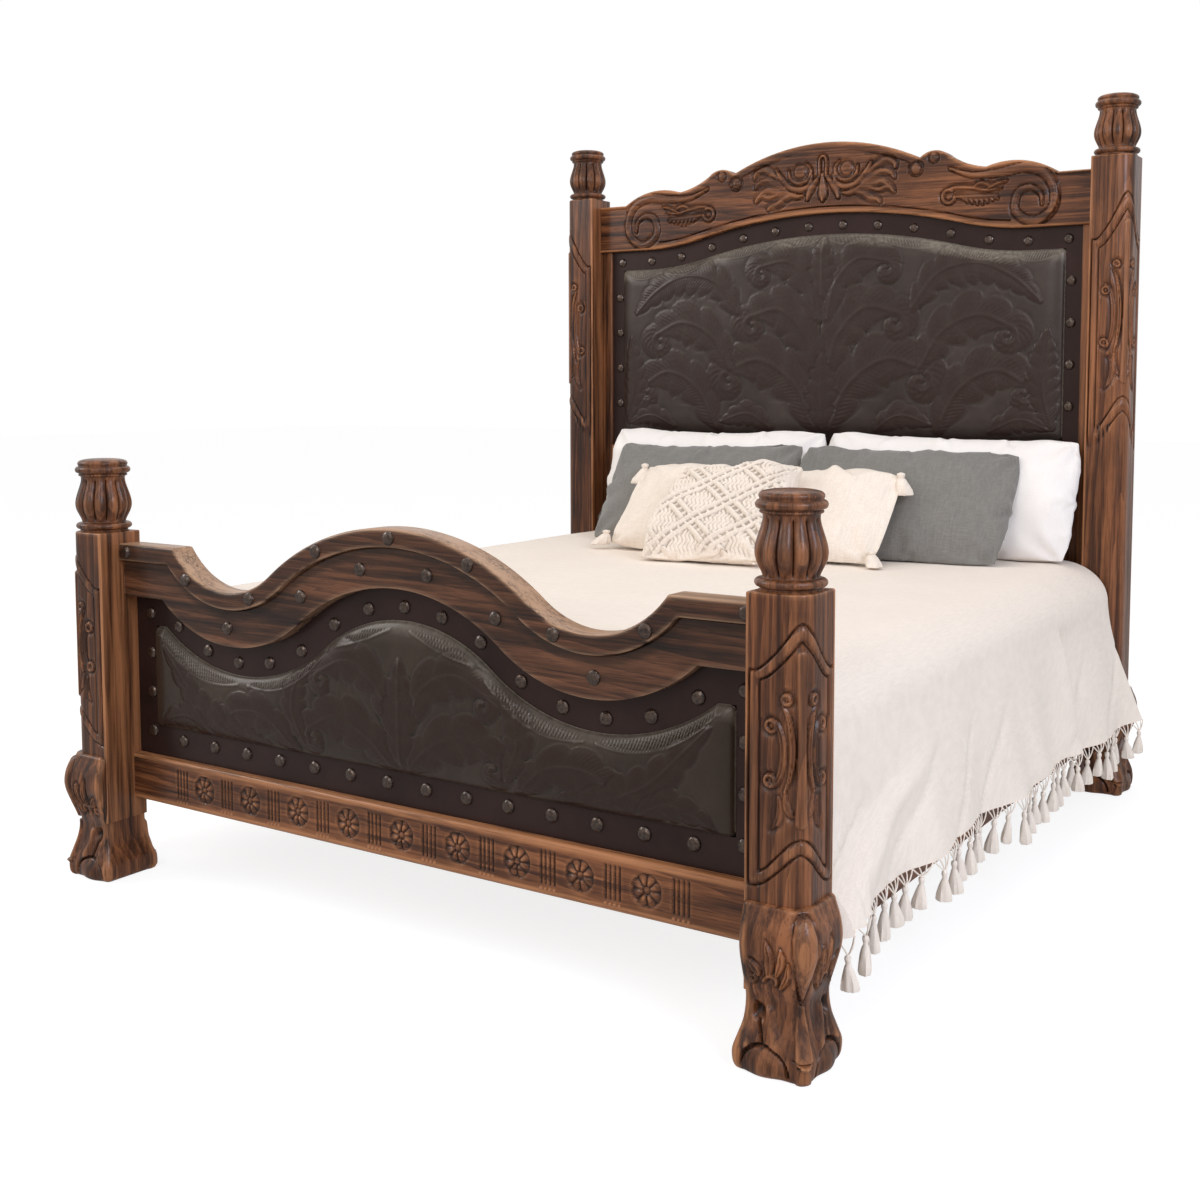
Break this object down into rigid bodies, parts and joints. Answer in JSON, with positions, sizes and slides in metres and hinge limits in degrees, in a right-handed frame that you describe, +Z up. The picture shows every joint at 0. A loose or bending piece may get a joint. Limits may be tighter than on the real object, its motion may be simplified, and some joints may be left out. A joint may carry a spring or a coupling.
{
  "type": "bed",
  "caption": "King-size bed with carved square posts on claw feet, a serpentine footboard and arched headboard with studded tooled-leather pads, slatted base and fringed bedding.",
  "frame": {"origin": "on the floor, under the middle of the bed", "axes": "+Z up, +Y from the foot to the head, +X to the right seen from the foot"},
  "size_m": [2.24, 2.369, 2.1582],
  "materials": {
    "carved_walnut": "dark stained, carved and hand rubbed, worn lighter on the edges",
    "backing_board": "plain stained board",
    "pine": "plain sawn softwood",
    "tooled_leather": "dark brown leather, tooled with scrolling leaves, soft sheen",
    "border_leather": "smooth dark brown leather",
    "hammered_bronze": "hammered, dark bronze patina",
    "fitting_steel": "zinc plated",
    "ticking": "woven ticking",
    "ivory_cotton": "brushed cotton with a knotted fringe",
    "white_cotton": "crisp cotton",
    "grey_linen": "slubbed linen",
    "cream_wool": "soft woven wool"
  },
  "bodies": {
    "frame": {"footboard_cap": "carved_walnut", "footboard_apron": "carved_walnut", "footboard_bottom_rail": "carved_walnut", "headboard_crest": "carved_walnut", "headboard_middle_rail": "carved_walnut", "headboard_bottom_rail": "carved_walnut", "headboard_stile_right": "carved_walnut", "headboard_stile_left": "carved_walnut", "headboard_muntin": "carved_walnut", "headboard_lower_panel_right": "carved_walnut", "headboard_lower_panel_left": "carved_walnut", "side_rail_right": "carved_walnut", "side_rail_left": "carved_walnut", "foot_post_right": "carved_walnut", "foot_post_left": "carved_walnut", "foot_finial_right": "carved_walnut", "foot_finial_left": "carved_walnut", "foot_claw_foot_right": "carved_walnut", "foot_claw_foot_left": "carved_walnut", "head_post_right": "carved_walnut", "head_post_left": "carved_walnut", "head_finial_right": "carved_walnut", "head_finial_left": "carved_walnut", "head_claw_foot_right": "carved_walnut", "head_claw_foot_left": "carved_walnut", "footboard_panel": "backing_board", "headboard_panel": "backing_board", "slat_ledger_right": "pine", "slat_ledger_left": "pine", "slats": "pine", "centre_beam": "pine", "centre_leg_1": "pine", "centre_leg_2": "pine", "centre_leg_3": "pine", "footboard_leather_pad": "tooled_leather", "headboard_leather_pad": "tooled_leather", "footboard_leather_border": "border_leather", "headboard_leather_border": "border_leather", "cap_clavos": "hammered_bronze", "apron_clavos": "hammered_bronze", "footboard_clavos": "hammered_bronze", "headboard_clavos": "hammered_bronze", "rail_hook_plates": "fitting_steel", "post_receiver_plates": "fitting_steel", "hook_plate_screws": "fitting_steel", "receiver_plate_screws": "fitting_steel", "ledger_screws": "fitting_steel"},
    "bedding": {"foundation": "ticking", "mattress": "ticking", "bedspread": "ivory_cotton", "bedspread_tassels": "ivory_cotton"},
    "pillows": {"white_pillow_left": "white_cotton", "white_pillow_right": "white_cotton", "grey_pillow_left": "grey_linen", "grey_pillow_right": "grey_linen", "lumbar_pillow": "cream_wool", "lumbar_tassels": "cream_wool", "woven_pillow": "cream_wool"}
  },
  "joints": [
    {"name": "bedding_lift", "type": "slide", "parent": "frame", "child": "bedding", "axis": [0, 0, 1], "range_m": [0, 0.95]},
    {"name": "pillow_lift", "type": "slide", "parent": "bedding", "child": "pillows", "axis": [0, 0, 1], "range_m": [0, 0.6]}
  ]
}
